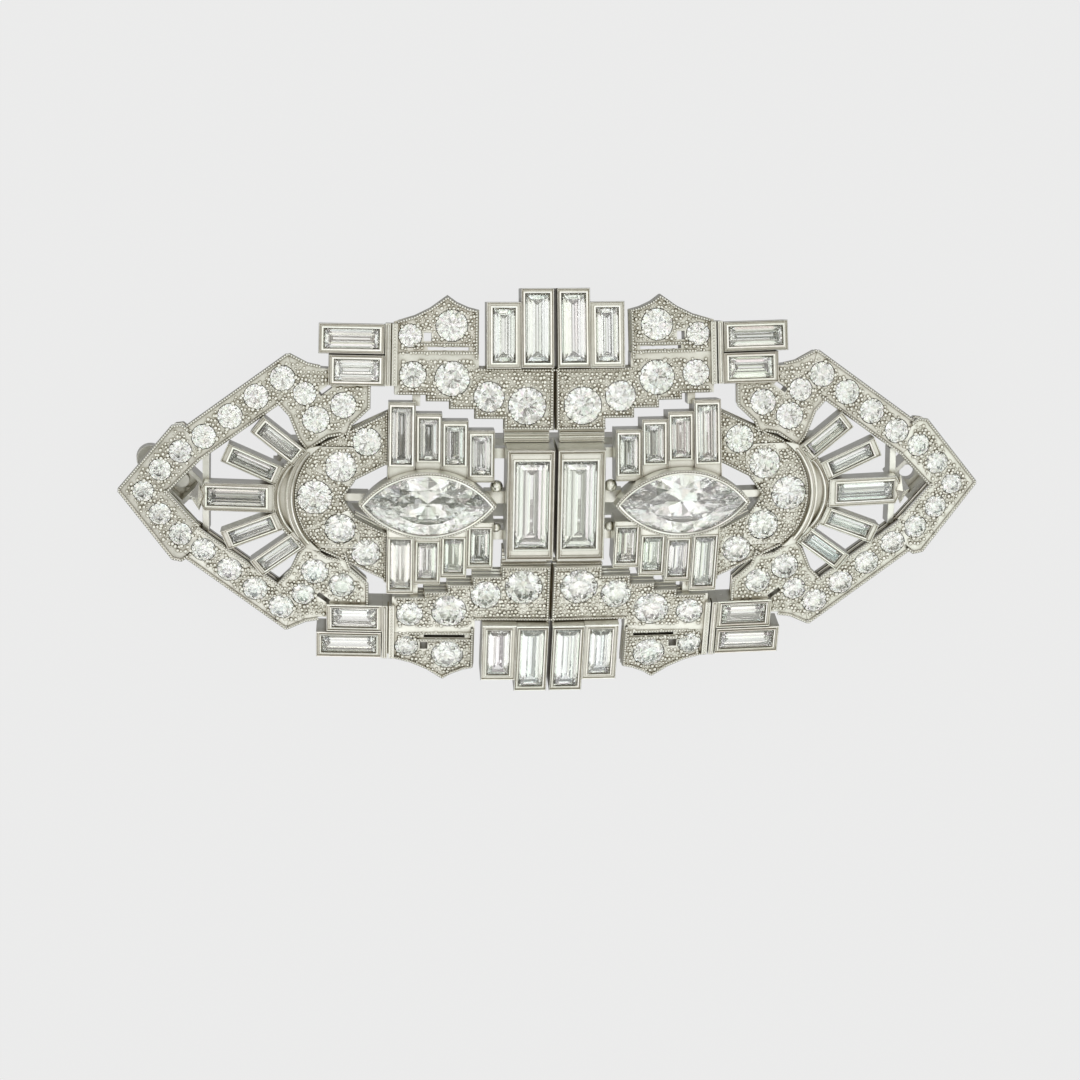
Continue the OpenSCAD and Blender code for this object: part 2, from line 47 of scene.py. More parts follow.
# The dome that the face follows, and the heights above it, as in the part's source
CROWN_Z = 7.2
RX = 167.0
RY = 47.0
CORNER_H = 0.3
END_H = 0.8
FLANK_H = 0.5
FLANK_TILT = 3.0
FAN_H = 0.6
CENTRE_H = 1.6
MARQUISE_H = 1.9
BAR_H = 0.35
GIRDLE_H = 0.03
GIRDLE_DROP = 0.12
GIRDLE_T = 0.08
STEP_CROWN = 0.3
SEAT_GAP = 0.04
CLIP_GAP = 0.2

# Flat facets of the plate: x, y where each touches the dome
CAP = (30.3, 0.0)
ARM = (24.5, 7.2)
CLUSTER = (18.3, 7.6)
NOSE = (17.5, 0.0)
LEG = (15.2, 4.6)
BAND = (6.5, 8.5)
CREST = (9.0, 13.5)

# Round stones of each facet: x, y, diameter
CAP_STONES = (
    (28.8, 3.35, 1.80),
    (30.4, 1.80, 1.75),
    (31.7, 0.00, 1.65),
    (30.4, -1.80, 1.75),
    (28.8, -3.35, 1.80),
)
ARM_STONES = (
    (21.0, 9.30, 1.95),
    (23.0, 7.80, 1.95),
    (25.0, 6.20, 1.95),
    (27.0, 4.55, 1.90),
)
CLUSTER_STONES = (
    (19.3, 8.15, 1.80),
    (18.4, 6.15, 2.10),
    (16.3, 7.30, 2.00),
)
NOSE_STONES = ((18.5, 0.00, 2.70),)
LEG_STONES = (
    (14.5, 4.50, 2.20),
    (16.5, 2.50, 2.40),
)
BAND_STONES = (
    (2.15, 7.35, 2.90),
    (5.10, 8.05, 2.35),
    (7.95, 9.45, 2.70),
    (11.0, 9.75, 2.05),
)
CREST_STONES = (
    (7.95, 13.4, 2.45),
    (11.15, 12.6, 1.80),
)

# Baguettes: x, y, collet length and width, stone length and width, turn
CORNERS = (
    (15.65, 12.35, 5.10, 2.35, 4.35, 1.60, 0),
    (15.28, 10.00, 4.36, 2.40, 3.55, 1.75, 0),
)
ENDS = (
    (3.98, 12.70, 5.15, 2.70, 4.25, 1.80, 90),
    (1.39, 13.22, 6.16, 2.56, 5.40, 1.95, 90),
)
FANS = (
    (21.25, 4.50, 4.30, 1.60, 3.40, 1.10, 37.7),
    (23.25, 2.65, 4.70, 1.60, 3.60, 1.10, 22.7),
    (24.45, 0.00, 5.90, 2.30, 4.60, 1.50, 0),
)
# How far the sides of the fan's middle collet stop short of its end
FAN_POINT = 0.45
CENTRE = (1.95, 0, 8.90, 3.70, 7.10, 2.68, 90)
CENTRE_STONE_X = 1.84
# Flank baguettes: x, y of the collet's outer end, collet width, y of the stone's inner end
FLANKS = (
    (11.80, 7.70, 2.14, 2.70),
    (9.74, 6.85, 2.06, 3.05),
    (7.72, 6.30, 2.06, 2.75),
    (5.70, 5.55, 2.06, 1.95),
)
FLANK_WALL = 0.26
# y where all flank collets end, beside the marquise
FLANK_INNER_Y = 1.5

# A round stone: its table and the ends of its lower halves in radii, its crown and its depth
# in diameters
ROUND_TABLE = 0.56
ROUND_LOW = 0.24
ROUND_CROWN = 0.15
ROUND_DEPTH = 0.43
# A baguette, in widths: how much smaller its table and its upper step are all round than its
# girdle, and the upper step's share of the crown
TABLE_INSET = 0.24
STEP_INSET = 0.1
STEP_RISE = 0.6
# Its steps below the girdle, in widths: how much shorter, how wide, how deep
LOW_STEPS = ((0.28, 0.72, 0.167), (0.60, 0.40, 0.316), (0.92, 0.08, 0.432))

# The marquise: x of its middle, half its collet's length and width, and the collet's wall
MARQUISE_X = 9.8
HALF_L = 5.33
HALF_W = 2.72
MARQUISE_WALL = 0.28
# Radius of the boat shape's two arcs, and how far their middles lie from its long axis
BOAT_R = (HALF_L ** 2 + HALF_W ** 2) / (2 * HALF_W)
BOAT_C = BOAT_R - HALF_W
# The marquise's table and stars as shares of its outline, its crown, the stars' share of that,
# and how far its lower halves bulge
BOAT_TABLE = 0.6
BOAT_STAR = 0.80
BOAT_CROWN = 0.4
BOAT_STAR_RISE = 0.58
BOAT_BULGE = 0.04
# Keel of the marquise: its reach as a share of the stone's, and the slope down to it
KEEL_REACH = 0.96
KEEL_SLOPE = 0.86

# The arc that the fan springs from: x of its middle, radius, and where it ends in degrees
ARC_X = 14.7
ARC_R = 5.5
ARC_TURN = 51.0


# Placing

def on_dome(x, y, h=0.0):
    """The frame on the dome above plan point x, y, with its Z along the dome's normal."""
    b = math.asin(y / RY)
    a = math.asin(x / (RX - RY + RY * math.cos(b)))
    down = Matrix.Translation((0, 0, CROWN_Z - RX)) @ Matrix.Rotation(a, 4, "Y")
    across = Matrix.Translation((0, 0, RX - RY)) @ Matrix.Rotation(-b, 4, "X")
    return down @ across @ Matrix.Translation((0, 0, RY + h))


def on_facet(zone, h=0.0):
    """The frame that lays plan coordinates on the facet that touches the dome at zone."""
    return on_dome(zone[0], zone[1], h) @ Matrix.Translation((-zone[0], -zone[1], 0))


def turned(degrees):
    return Matrix.Rotation(math.radians(degrees), 4, "Z")


def mirror(s, t):
    """Mirrors the right clip's upper half to side s and half t."""
    return Matrix.Diagonal((s, t, 1, 1))


class Shape:
    """A mesh that grows by adding faces, each set in its own frame."""

    def __init__(self):
        self.points = []
        self.faces = []

    def add(self, points, faces, place):
        start = len(self.points)
        self.points += [place @ Vector(p) for p in points]
        flip = place.to_3x3().determinant() < 0
        for f in faces:
            ids = [start + i for i in f]
            self.faces.append(ids[::-1] if flip else ids)

    def build(self, name, material, smooth=False):
        mesh = bpy.data.meshes.new(name)
        mesh.from_pydata([p * MM for p in self.points], [], self.faces)
        mesh.update()
        piece = bpy.data.objects.new(name, mesh)
        bpy.context.scene.collection.objects.link(piece)
        mesh.materials.append(material)
        if smooth:
            mesh.polygons.foreach_set("use_smooth", [True] * len(mesh.polygons))
        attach(piece, "root")
        return piece


# Materials

# How fine the noise of a metal's tone, roughness and scratches and of a stone's tint is, and how
# deep the scratches are
TONE_SCALE = 900.0
ROUGH_SCALE = 2500.0
SCRATCH_SCALE = 7000.0
TINT_SCALE = 320.0
SCRATCH_DEPTH = 0.02


def new_material(name):
    material = bpy.data.materials.new(name)
    material.use_nodes = True
    tree = material.node_tree
    return material, tree, tree.nodes["Principled BSDF"]


def noise(tree, scale, detail=4.0):
    """Noise in object coordinates."""
    coords = tree.nodes.new("ShaderNodeTexCoord")
    node = tree.nodes.new("ShaderNodeTexNoise")
    node.inputs["Scale"].default_value = scale
    node.inputs["Detail"].default_value = detail
    node.inputs["Roughness"].default_value = 0.6
    tree.links.new(coords.outputs["Object"], node.inputs["Vector"])
    return node


def ramp(tree, source, stops):
    """Colours along a value: (position, (r, g, b))."""
    node = tree.nodes.new("ShaderNodeValToRGB")
    while len(node.color_ramp.elements) < len(stops):
        node.color_ramp.elements.new(0.5)
    for element, (position, colour) in zip(node.color_ramp.elements, stops):
        element.position = position
        element.color = (*colour, 1)
    tree.links.new(source, node.inputs["Fac"])
    return node


def metal(name, bright, mid, dark, rough, scratch, bevel=0.0, grime_and_shade=0.35):
    """White metal: tone that wanders, painted shade in its corners, creases and near the floor that
    also stands for dark grime in the hollows, fine scratches and soft edges.
    """
    material, tree, shader = new_material(name)
    shader.inputs["Metallic"].default_value = 1.0
    tone = ramp(tree, noise(tree, TONE_SCALE).outputs["Fac"], ((0.35, mid), (0.65, bright)))
    # Painted shade: occlusion darkens the base colour towards the dark colour in corners, creases
    # and near the floor, partly standing for the dark grime in the hollows
    shade = tree.nodes.new("ShaderNodeAmbientOcclusion")
    shade.samples = 4
    shade.inputs["Distance"].default_value = grime_and_shade * MM
    dirt_and_shade = ramp(tree, shade.outputs["AO"], ((0.4, dark), (0.98, (1.0, 1.0, 1.0))))
    both = tree.nodes.new("ShaderNodeMix")
    both.data_type = "RGBA"
    both.blend_type = "MULTIPLY"
    both.inputs["Factor"].default_value = 1.0
    tree.links.new(tone.outputs["Color"], both.inputs["A"])
    tree.links.new(dirt_and_shade.outputs["Color"], both.inputs["B"])
    tree.links.new(both.outputs["Result"], shader.inputs["Base Color"])
    spread = tree.nodes.new("ShaderNodeMapRange")
    spread.inputs["To Min"].default_value = rough * 0.7
    spread.inputs["To Max"].default_value = rough * 1.4
    tree.links.new(noise(tree, ROUGH_SCALE).outputs["Fac"], spread.inputs["Value"])
    tree.links.new(spread.outputs["Result"], shader.inputs["Roughness"])
    bump = tree.nodes.new("ShaderNodeBump")
    bump.inputs["Strength"].default_value = scratch
    bump.inputs["Distance"].default_value = SCRATCH_DEPTH * MM
    tree.links.new(noise(tree, SCRATCH_SCALE, 6.0).outputs["Fac"], bump.inputs["Height"])
    if bevel:
        soft = tree.nodes.new("ShaderNodeBevel")
        soft.samples = 4
        soft.inputs["Radius"].default_value = bevel * MM
        tree.links.new(soft.outputs["Normal"], bump.inputs["Normal"])
    tree.links.new(bump.outputs["Normal"], shader.inputs["Normal"])
    return material


def stone(name, clear, tint):
    """Clear cut stone, its tint wandering a little from stone to stone."""
    material, tree, shader = new_material(name)
    shader.inputs["Transmission Weight"].default_value = 0.95
    shader.inputs["Roughness"].default_value = 0.0
    shader.inputs["IOR"].default_value = 2.42
    tone = ramp(tree, noise(tree, TINT_SCALE, 1.0).outputs["Fac"], ((0.35, tint), (0.6, clear)))
    tree.links.new(tone.outputs["Color"], shader.inputs["Base Color"])
    return material


# The third colour of each metal is the painted shade, partly grime, that its corners, creases and
# the metal near the floor darken to, within a reach set for each metal (0.35 mm unless given)
PLATINUM = metal(
    "platinum", (0.92, 0.915, 0.87), (0.83, 0.825, 0.77), (0.27, 0.235, 0.17),
    rough=0.30, scratch=0.07, bevel=0.07, grime_and_shade=0.40,
)
BRIGHT = metal(
    "bright_cut_platinum", (0.93, 0.925, 0.89), (0.84, 0.835, 0.79), (0.30, 0.26, 0.19),
    rough=0.18, scratch=0.1,
)
GRAIN = metal(
    "raised_grain_platinum", (0.96, 0.955, 0.92), (0.80, 0.79, 0.73), (0.26, 0.22, 0.15),
    rough=0.2, scratch=0.1, grime_and_shade=0.25,
)
WHITE_GOLD = metal(
    "white_gold", (0.93, 0.92, 0.88), (0.82, 0.81, 0.76), (0.50, 0.47, 0.40),
    rough=0.36, scratch=0.2, bevel=0.1,
)
DIAMOND = stone("diamond", (1.0, 1.0, 1.0), (0.965, 0.985, 0.965))
STEP_DIAMOND = stone("step_cut_diamond", (0.99, 1.0, 0.985), (0.93, 0.965, 0.92))


# Cut stones

STONE_TILT = 1.2


def polar(r, degrees, z):
    a = math.radians(degrees)
    return (r * math.cos(a), r * math.sin(a), z)


def brilliant(d):
    """Round brilliant with its girdle's top edge at z = 0: table, stars, kites and halves,
    over mains and long lower halves that meet in a point."""
    rim = d / 2
    table = ROUND_TABLE * rim
    crown = ROUND_CROWN * d
    depth = ROUND_DEPTH * d
    star = 0.5 * (table * math.cos(math.radians(22.5)) + rim)
    star_z = crown * (rim - star * math.cos(math.radians(22.5))) / (rim - table)
    low = ROUND_LOW * rim
    low_z = -GIRDLE_T - depth * (1 - low * math.cos(math.radians(22.5)) / rim)
    points = [polar(table, 45 * k, crown) for k in range(8)]
    points += [polar(star, 45 * k + 22.5, star_z) for k in range(8)]
    points += [polar(rim, 22.5 * k, 0) for k in range(16)]
    points += [polar(rim, 22.5 * k, -GIRDLE_T) for k in range(16)]
    points += [polar(low, 45 * k + 22.5, low_z) for k in range(8)]
    points += [(0, 0, -GIRDLE_T - depth)]
    star0, top0, under0, low0, culet = 8, 16, 32, 48, 56
    faces = [list(range(8))]
    for k in range(8):
        after = (k + 1) % 8
        before = (k - 1) % 8
        faces.append([k, star0 + k, after])
        faces.append([k, star0 + before, top0 + 2 * k, star0 + k])
        faces.append([star0 + k, top0 + 2 * k, top0 + 2 * k + 1])
        faces.append([star0 + k, top0 + 2 * k + 1, top0 + (2 * k + 2) % 16])
        faces.append([culet, low0 + k, under0 + 2 * k, low0 + before])
        faces.append([low0 + k, under0 + 2 * k + 1, under0 + 2 * k])
        faces.append([low0 + k, under0 + (2 * k + 2) % 16, under0 + 2 * k + 1])
    for j in range(16):
        after = (j + 1) % 16
        faces.append([top0 + j, under0 + j, under0 + after, top0 + after])
    return points, faces


def rings_solid(rings):
    """A solid from rings of n points each, from the top down."""
    n = len(rings[0])
    points = [p for r in rings for p in r]
    faces = [list(range(n))]
    for k in range(len(rings) - 1):
        for i in range(n):
            after = (i + 1) % n
            faces.append([k * n + i, (k + 1) * n + i, (k + 1) * n + after, k * n + after])
    last = (len(rings) - 1) * n
    faces.append([last + i for i in range(n - 1, -1, -1)])
    return points, faces


def box_ring(l, w, z):
    return [(l / 2, -w / 2, z), (l / 2, w / 2, z), (-l / 2, w / 2, z), (-l / 2, -w / 2, z)]


def baguette(l, w):
    """Step cut with the collet's edge at z = 0: two steps above the girdle, three below."""
    top = -GIRDLE_DROP
    low = top - GIRDLE_T
    a = 2 * TABLE_INSET * w
    b = 2 * STEP_INSET * w
    rings = [
        box_ring(l - a, w - a, top + STEP_CROWN),
        box_ring(l - b, w - b, top + STEP_CROWN * STEP_RISE),
        box_ring(l, w, top),
        box_ring(l, w, low),
    ]
    rings += [box_ring(l - shorter * w, w * wide, low - deep * w)
              for shorter, wide, deep in LOW_STEPS]
    return rings_solid(rings)


def boat_point(k, degrees, z):
    """Point of a boat-shaped ring, k times the marquise's girdle."""
    r = BOAT_R - MARQUISE_WALL - SEAT_GAP
    a = math.sqrt(r * r - BOAT_C * BOAT_C)
    c = math.cos(math.radians(degrees))
    s = math.sin(math.radians(degrees))
    x = a * c
    y = math.copysign(math.sqrt(max(r * r - x * x, 0)) - BOAT_C, s) if abs(s) > 1e-9 else 0.0
    return (k * x, k * y, z)


def keel_point(rim):
    """Where the slope square to the outline at rim ends, on the stone's middle plane."""
    x, y, z = rim
    end = x * BOAT_C / (BOAT_C + y) if y > 0.01 else KEEL_REACH * x
    return (end, 0, z - KEEL_SLOPE * math.dist((x, y), (end, 0)))


def marquise_stone():
    """Boat-shaped brilliant: table, stars, kites and halves above; below, mains and halves
    that run down to a keel."""
    top = -GIRDLE_DROP
    low = top - GIRDLE_T
    count = 16
    step = 360 / count
    keel = [keel_point(boat_point(1, step * i, low)) for i in range(count // 2 + 1)]
    below = [i if i <= count // 2 else count - i for i in range(count + 1)]
    star_z = top + BOAT_CROWN * BOAT_STAR_RISE
    points = [boat_point(BOAT_TABLE, step * k, top + BOAT_CROWN) for k in range(count)]
    points += [boat_point(BOAT_STAR, step * (k + 0.5), star_z) for k in range(count)]
    points += [boat_point(1, step * k / 2, top) for k in range(2 * count)]
    points += [boat_point(1, step * k / 2, low) for k in range(2 * count)]
    for k in range(count):
        edge = boat_point(1, step * (k + 0.5), low)
        a = keel[below[k]]
        b = keel[below[k + 1]]
        x, y, z = (0.5 * e + 0.25 * (u + v) for e, u, v in zip(edge, a, b))
        points.append((x, y, z - BOAT_BULGE))
    points += keel
    star0 = count
    top0 = 2 * count
    under0 = 4 * count
    low0 = 6 * count
    keel0 = 7 * count
    faces = [list(range(count))]
    for k in range(count):
        after = (k + 1) % count
        before = (k - 1) % count
        deep = keel0 + below[k]
        end = (2 * k + 2) % (2 * count)
        faces.append([k, star0 + k, after])
        faces.append([k, star0 + before, top0 + 2 * k])
        faces.append([k, top0 + 2 * k, star0 + k])
        faces.append([star0 + k, top0 + 2 * k, top0 + 2 * k + 1])
        faces.append([star0 + k, top0 + 2 * k + 1, top0 + end])
        faces.append([low0 + k, under0 + 2 * k + 1, under0 + 2 * k])
        faces.append([low0 + k, under0 + end, under0 + 2 * k + 1])
        faces.append([deep, under0 + 2 * k, low0 + before])
        faces.append([deep, low0 + k, under0 + 2 * k])
        faces.append([deep, keel0 + below[k + 1], low0 + k])
    for j in range(2 * count):
        after = (j + 1) % (2 * count)
        faces.append([top0 + j, under0 + j, under0 + after, top0 + after])
    return points, faces


def place_baguette(row, h):
    return on_dome(row[0], row[1], h) @ turned(row[6])


def place_flank(row):
    """The outer end of a flank collet, level with its top edge."""
    tilt = Matrix.Rotation(math.radians(-FLANK_TILT), 4, "X")
    return on_dome(row[0], row[1], FLANK_H) @ tilt


def flank_size(row):
    return row[1] - 2 * FLANK_WALL - row[3], row[2] - 2 * FLANK_WALL


def place_flank_stone(row):
    length = flank_size(row)[0]
    return place_flank(row) @ Matrix.Translation((0, -1.5 * FLANK_WALL - length / 2, 0)) @ turned(90)


def place_centre():
    return on_dome(CENTRE_STONE_X, 0, CENTRE_H) @ turned(90)


def place_marquise():
    return on_dome(MARQUISE_X, 0, MARQUISE_H)


def uneven():
    """The small tilt that a hand-set stone has."""
    turns = [math.radians(random.uniform(-STONE_TILT, STONE_TILT)) for k in range(2)]
    return Matrix.Rotation(turns[0], 4, "X") @ Matrix.Rotation(turns[1], 4, "Y")


def add_rounds(shape, zone, rows, flip):
    for x, y, d in rows:
        spin = uneven() @ turned(random.uniform(0, 45))
        place = flip @ on_facet(zone, GIRDLE_H) @ Matrix.Translation((x, y, 0)) @ spin
        shape.add(*brilliant(d), place)


def stone_piece(shape, node, material):
    piece = shape.build("cut_" + node, material)
    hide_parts(node)


def one_stone(node, solid, place, material):
    shape = Shape()
    shape.add(*solid, place @ uneven())
    stone_piece(shape, node, material)


def make_stones(side, s):
    """All stones of one clip."""
    upper = mirror(s, 1)
    lower = mirror(s, -1)
    rim = Shape()
    add_rounds(rim, CAP, CAP_STONES, upper)
    arc = Shape()
    add_rounds(arc, NOSE, NOSE_STONES, upper)
    for flip in (upper, lower):
        add_rounds(rim, ARM, ARM_STONES, flip)
        add_rounds(arc, LEG, LEG_STONES, flip)
    stone_piece(rim, f"rim_rounds_{side}", DIAMOND)
    stone_piece(arc, f"arc_rounds_{side}", DIAMOND)
    for name, flip in (("upper", upper), ("lower", lower)):
        field = Shape()
        add_rounds(field, CLUSTER, CLUSTER_STONES, flip)
        add_rounds(field, BAND, BAND_STONES, flip)
        add_rounds(field, CREST, CREST_STONES, flip)
        stone_piece(field, f"{name}_rounds_{side}", DIAMOND)
        flank = Shape()
        for row in FLANKS:
            flank.add(*baguette(*flank_size(row)), flip @ place_flank_stone(row) @ uneven())
        stone_piece(flank, f"{name}_flank_baguettes_{side}", STEP_DIAMOND)
    for i in range(1, 5):
        flip = upper if i < 3 else lower
        index = i - 1 if i < 3 else 4 - i
        for kind, rows, h in (("end", ENDS, END_H), ("corner", CORNERS, CORNER_H)):
            row = rows[index]
            one_stone(f"{kind}_baguette_{side}_{i}", baguette(row[4], row[5]),
                      flip @ place_baguette(row, h), STEP_DIAMOND)
    for i in range(1, 6):
        flip = upper if i < 4 else lower
        row = FANS[2 - abs(3 - i)]
        one_stone(f"fan_baguette_{side}_{i}", baguette(row[4], row[5]),
                  flip @ place_baguette(row, FAN_H), STEP_DIAMOND)
    one_stone(f"centre_baguette_{side}", baguette(CENTRE[4], CENTRE[5]),
              upper @ place_centre(), STEP_DIAMOND)
    one_stone(f"marquise_{side}", marquise_stone(), upper @ place_marquise(), DIAMOND)


# Settings: beads, ridges and lips

def bead(d, sides=8, rows=3):
    """A round bead, cut off just below its middle."""
    points = [(0, 0, d / 2)]
    for k in range(1, rows + 1):
        a = math.radians(100 * k / rows)
        for i in range(sides):
            b = 2 * math.pi * (i + 0.5 * k) / sides
            points.append((d / 2 * math.sin(a) * math.cos(b), d / 2 * math.sin(a) * math.sin(b),
                           d / 2 * math.cos(a)))
    faces = [[0, 1 + i, 1 + (i + 1) % sides] for i in range(sides)]
    for k in range(rows - 1):
        for i in range(sides):
            a = 1 + k * sides + i
            b = 1 + k * sides + (i + 1) % sides
            faces.append([a, a + sides, b + sides, b])
    return points, faces


BEAD_D = 0.21
BEAD_STEP = 0.215
SMALL_BEAD = bead(BEAD_D)


def walk(path, step, closed=False):
    """Points at even steps along a path of plan points."""
    points = list(path) + ([path[0]] if closed else [])
    lengths = [math.dist(a, b) for a, b in zip(points, points[1:])]
    total = sum(lengths)
    count = max(1, round(total / step))
    found = []
    for k in range(count + (0 if closed else 1)):
        left = total * k / count
        for (a, b), length in zip(zip(points, points[1:]), lengths):
            if left <= length + 1e-9:
                f = left / length
                found.append((a[0] + f * (b[0] - a[0]), a[1] + f * (b[1] - a[1])))
                break
            left -= length
    return found


def offset(path, d, closed=False):
    """The path moved d to its left, with mitred corners."""
    n = len(path)
    moved = []
    for i in range(n):
        before = path[i - 1] if closed or i > 0 else None
        after = path[(i + 1) % n] if closed or i < n - 1 else None
        here = path[i]
        normals = []
        for a, b in ((before, here), (here, after)):
            if a is not None and b is not None:
                length = math.dist(a, b)
                normals.append((-(b[1] - a[1]) / length, (b[0] - a[0]) / length))
        nx = sum(v[0] for v in normals) / len(normals)
        ny = sum(v[1] for v in normals) / len(normals)
        size = max(nx * nx + ny * ny, 0.25)
        moved.append((here[0] + d * nx / size, here[1] + d * ny / size))
    return moved


# Sections of a ridge and of a thin rail, in widths across and heights up
RIDGE = ((-0.5, -0.06), (-0.40, 0.60), (-0.12, 1.0), (0.12, 1.0), (0.40, 0.60), (0.5, -0.06))
RAIL = ((0.5, -0.5), (0.0, -0.7), (-0.5, -0.3), (-0.5, 0.3), (0.0, 0.7), (0.5, 0.5))
# Heights of the thin rails
RAIL_Z = (-0.50, -1.00)


def add_ridge(shape, path, width, height, place, closed=False, base=0.0, section=RIDGE):
    """A low ridge with bevelled edges along a path, its middle on the path."""
    rails = [offset(path, -u * width, closed) for u, v in section]
    n = len(path)
    m = len(section)
    points = []
    for i in range(n):
        for (u, v), rail in zip(section, rails):
            points.append((rail[i][0], rail[i][1], base + v * height))
    faces = []
    for i in range(n if closed else n - 1):
        a = i * m
        b = (i + 1) % n * m
        for k in range(m - 1):
            faces.append([a + k, b + k, b + k + 1, a + k + 1])
    if not closed:
        faces.append(list(range(m)))
        faces.append([(n - 1) * m + k for k in range(m - 1, -1, -1)])
    shape.add(points, faces, place)


def add_beads(shape, path, place, z, closed=False, step=BEAD_STEP):
    """Small beads along a path, at height z."""
    for x, y in walk(path, step, closed):
        shape.add(*SMALL_BEAD, place @ Matrix.Translation((x, y, z)))


def arc_path(x, y, r, start, end, count):
    """Plan points on an arc, from start to end degrees."""
    turns = [math.radians(start + (end - start) * k / count) for k in range(count + 1)]
    return [(x + r * math.cos(a), y + r * math.sin(a)) for a in turns]


# Edges of the pave that carry beads, with the metal on their right
GAP = CLIP_GAP / 2
LEG_TOP = (ARC_X + ARC_R * math.cos(math.radians(ARC_TURN)),
           ARC_R * math.sin(math.radians(ARC_TURN)))
BORDERS = (
    (CAP, ((27.5, 2.78), (30.1, 0.0))),
    (CAP, ((33.5, 0.0), (29.35, 5.25), (28.75, 5.35), (28.35, 5.05))),
    (ARM, ((28.4, 5.1), (20.6, 11.05))),
    (ARM, ((21.1, 7.62), (27.5, 2.78))),
    (CLUSTER, ((20.6, 11.05), (19.2, 10.35), (18.2, 10.15))),
    (CLUSTER, ((14.45, 9.0), (14.45, 7.2), (15.8, 5.9), (16.1, 4.9), (16.5, 5.2), (17.5, 5.0),
               (19.0, 3.95), (19.5, 4.6), (20.3, 6.5), (21.3, 7.55))),
    (LEG, ((12.85, 6.85), LEG_TOP)),
    (LEG, ((12.85, 2.8), (12.85, 6.85))),
    (LEG, ((15.4, 1.45), (12.85, 2.8))),
    (BAND, ((12.1, 8.2), (9.9, 8.2), (9.9, 7.7), (8.1, 7.7), (8.1, 7.1), (6.15, 7.1),
            (6.15, 6.35), (3.9, 6.35), (3.9, 5.5), (GAP, 5.5), (GAP, 10.3))),
    (BAND, ((GAP, 10.3), (5.9, 10.3))),
    (CREST, ((5.9, 10.9), (5.9, 14.6), (6.7, 14.8), (7.6, 15.2), (8.3, 15.7), (9.6, 14.75),
             (10.8, 14.15), (12.1, 13.75))),
)
BORDER_INSET = 0.13
RIDGE_W = 0.24
RIDGE_H = 0.14
RIDGE_BEAD_Z = RIDGE_H - 0.02
# How far in from the arc its edge runs, and the point of that path where the facet changes
ARC_INSET = 0.2
ARC_FOLD = 8
# The inner edge of the nose, in from the crescent
NOSE_EDGE = ((16.48, 0.0), (15.5, 1.4))
# Size of the thin rails under the plate's edges
RAIL_W = 0.12
RAIL_T = 0.16
# Bands on the lune's two rails: x of the arc's middle, radius, where it ends in degrees, width
LUNE_TOP = 0.4
LUNE_BANDS = (
    (17.5, 4.18, 62.0, 0.24),
    (17.5, 3.87, 52.0, 0.20),
    (14.7, 5.93, 33.0, 0.20),
    (14.7, 5.61, 41.0, 0.22),
)
LUNE_BAND_H = 0.12
LUNE_BEAD_Z = LUNE_TOP + 0.1
# Bands on both sides of the slit between the crest and the band: y, and where they run along x
SLIT_BANDS = (11.3, 11.93)
SLIT_RUN = (6.15, 10.9)
SLIT_BAND_W = 0.2
# The upright bars beside the corner collets, one with beads and one with a band: where they
# stand, how far they run up and down from there, and the band's width and height
BEADED_BAR_X = 12.36
BANDED_BAR_X = 12.89
BAR_Y = 11.2
BAR_RUN = 2.3
BAR_BAND = (0.2, 0.12)
BAR_BEAD_Z = BAR_H - 0.03
BAR_BEAD_STEP = 0.25
# The shelf between the centre collet and the band: its middle, how far its bands run along x
# from there, their height, and each one's y from the middle and width
SHELF = (2.15, 4.95)
SHELF_RUN = (-1.7, 1.75)
SHELF_DROP = -0.35
SHELF_BAND_H = 0.14
SHELF_BEAD_Z = SHELF_DROP + 0.1
SHELF_BANDS = ((0.58, 0.18), (0.28, 0.16), (-0.06, 0.22), (-0.42, 0.16))


